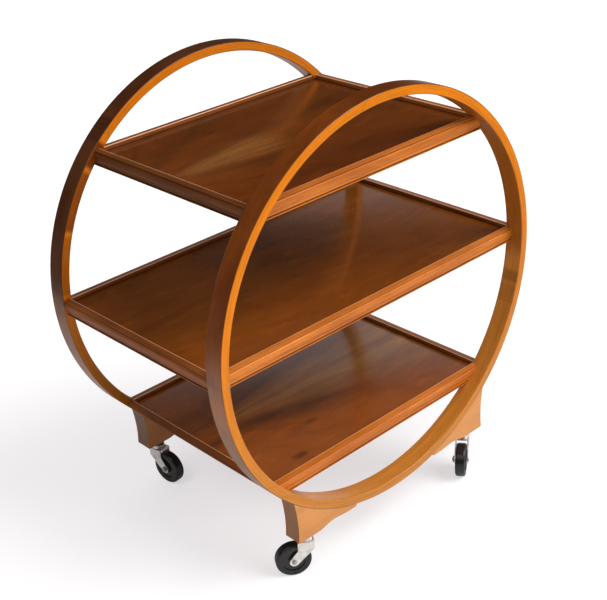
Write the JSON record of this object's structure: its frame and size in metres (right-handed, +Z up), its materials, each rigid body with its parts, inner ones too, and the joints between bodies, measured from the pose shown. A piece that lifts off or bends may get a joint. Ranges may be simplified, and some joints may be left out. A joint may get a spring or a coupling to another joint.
{
  "type": "serving trolley",
  "caption": "Serving trolley with upright round wooden hoops that carry rectangular rimmed trays, on shaped feet with swivel casters.",
  "frame": {"origin": "centre of the trolley's box, on the floor under the casters", "axes": "+X along the trays to the right, +Y from the near hoop to the far hoop, +Z up"},
  "size_m": [0.7, 0.469, 0.774],
  "materials": {
    "hoop_wood": "polished",
    "rim_wood": "polished",
    "top_panel_wood": "high gloss",
    "mid_panel_wood": "high gloss",
    "low_panel_wood": "high gloss",
    "block_wood": "satin",
    "foot_wood": "satin",
    "dowel_wood": "raw",
    "race_steel": "satin",
    "ball_steel": "polished",
    "fork_steel": "satin",
    "axle_steel": "satin",
    "core_plastic": "satin",
    "tyre_rubber": "matte"
  },
  "bodies": {
    "trolley": {"hoop_near_a": "hoop_wood", "hoop_near_b": "hoop_wood", "hoop_near_c": "hoop_wood", "hoop_far_a": "hoop_wood", "hoop_far_b": "hoop_wood", "hoop_far_c": "hoop_wood", "top_panel": "top_panel_wood", "top_rim_near": "rim_wood", "top_rim_far": "rim_wood", "top_rim_left": "rim_wood", "top_rim_right": "rim_wood", "top_blocks": "block_wood", "mid_panel": "mid_panel_wood", "mid_rim_near": "rim_wood", "mid_rim_far": "rim_wood", "mid_rim_left": "rim_wood", "mid_rim_right": "rim_wood", "mid_blocks": "block_wood", "low_panel": "low_panel_wood", "low_rim_near": "rim_wood", "low_rim_far": "rim_wood", "low_rim_left": "rim_wood", "low_rim_right": "rim_wood", "low_blocks": "block_wood", "tray_dowels": "dowel_wood", "foot_dowels": "dowel_wood", "foot_near_left": "foot_wood", "stem_near_left": "race_steel", "foot_near_right": "foot_wood", "stem_near_right": "race_steel", "foot_far_left": "foot_wood", "stem_far_left": "race_steel", "foot_far_right": "foot_wood", "stem_far_right": "race_steel"},
    "swivel_near_left": {"fork_near_left": "fork_steel", "axle_near_left": "axle_steel", "nut_near_left": "axle_steel", "balls_near_left": "ball_steel"},
    "wheel_near_left": {"core_near_left": "core_plastic", "tyre_near_left": "tyre_rubber"},
    "swivel_near_right": {"fork_near_right": "fork_steel", "axle_near_right": "axle_steel", "nut_near_right": "axle_steel", "balls_near_right": "ball_steel"},
    "wheel_near_right": {"core_near_right": "core_plastic", "tyre_near_right": "tyre_rubber"},
    "swivel_far_left": {"fork_far_left": "fork_steel", "axle_far_left": "axle_steel", "nut_far_left": "axle_steel", "balls_far_left": "ball_steel"},
    "wheel_far_left": {"core_far_left": "core_plastic", "tyre_far_left": "tyre_rubber"},
    "swivel_far_right": {"fork_far_right": "fork_steel", "axle_far_right": "axle_steel", "nut_far_right": "axle_steel", "balls_far_right": "ball_steel"},
    "wheel_far_right": {"core_far_right": "core_plastic", "tyre_far_right": "tyre_rubber"}
  },
  "joints": [
    {"name": "swivel_near_left", "type": "hinge", "parent": "trolley", "child": "swivel_near_left", "pos_m": [-0.1974, -0.198, 0.07], "axis": [0, 0, 1], "continuous": true},
    {"name": "roll_near_left", "type": "hinge", "parent": "swivel_near_left", "child": "wheel_near_left", "pos_m": [-0.21752, -0.18624, 0.0303], "axis": [-0.5045, -0.8634, 0], "continuous": true},
    {"name": "swivel_near_right", "type": "hinge", "parent": "trolley", "child": "swivel_near_right", "pos_m": [0.1974, -0.198, 0.07], "axis": [0, 0, 1], "continuous": true},
    {"name": "roll_near_right", "type": "hinge", "parent": "swivel_near_right", "child": "wheel_near_right", "pos_m": [0.17831, -0.21136, 0.0303], "axis": [0.5736, -0.8192, 0], "continuous": true},
    {"name": "swivel_far_left", "type": "hinge", "parent": "trolley", "child": "swivel_far_left", "pos_m": [-0.1974, 0.198, 0.07], "axis": [0, 0, 1], "continuous": true},
    {"name": "roll_far_left", "type": "hinge", "parent": "swivel_far_left", "child": "wheel_far_left", "pos_m": [-0.19452, 0.17488, 0.0303], "axis": [0.9923, 0.1236, 0], "continuous": true},
    {"name": "swivel_far_right", "type": "hinge", "parent": "trolley", "child": "swivel_far_right", "pos_m": [0.1974, 0.198, 0.07], "axis": [0, 0, 1], "continuous": true},
    {"name": "roll_far_right", "type": "hinge", "parent": "swivel_far_right", "child": "wheel_far_right", "pos_m": [0.17831, 0.21136, 0.0303], "axis": [-0.5736, -0.8192, 0], "continuous": true}
  ]
}
